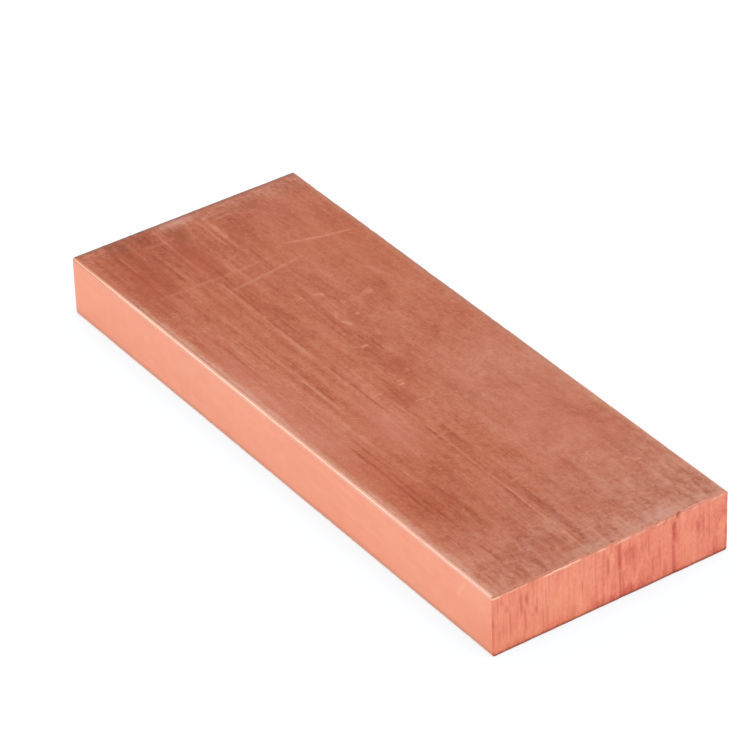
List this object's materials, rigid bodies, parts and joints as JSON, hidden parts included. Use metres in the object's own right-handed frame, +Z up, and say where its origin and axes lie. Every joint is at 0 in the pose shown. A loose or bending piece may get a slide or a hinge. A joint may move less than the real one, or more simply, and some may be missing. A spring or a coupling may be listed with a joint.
{
  "type": "copper plate",
  "caption": "Thick rectangular copper plate: a solid length of drawn flat bar with slightly rounded long edges and square sawn ends.",
  "frame": {"origin": "centre of the underside, on the surface that the plate lies on", "axes": "+X along the plate's length, +Y across its width, +Z up through its thickness"},
  "size_m": [0.21, 0.08, 0.02],
  "materials": {
    "copper": "satin"
  },
  "bodies": {
    "root": {"plate": "copper"}
  },
  "joints": []
}
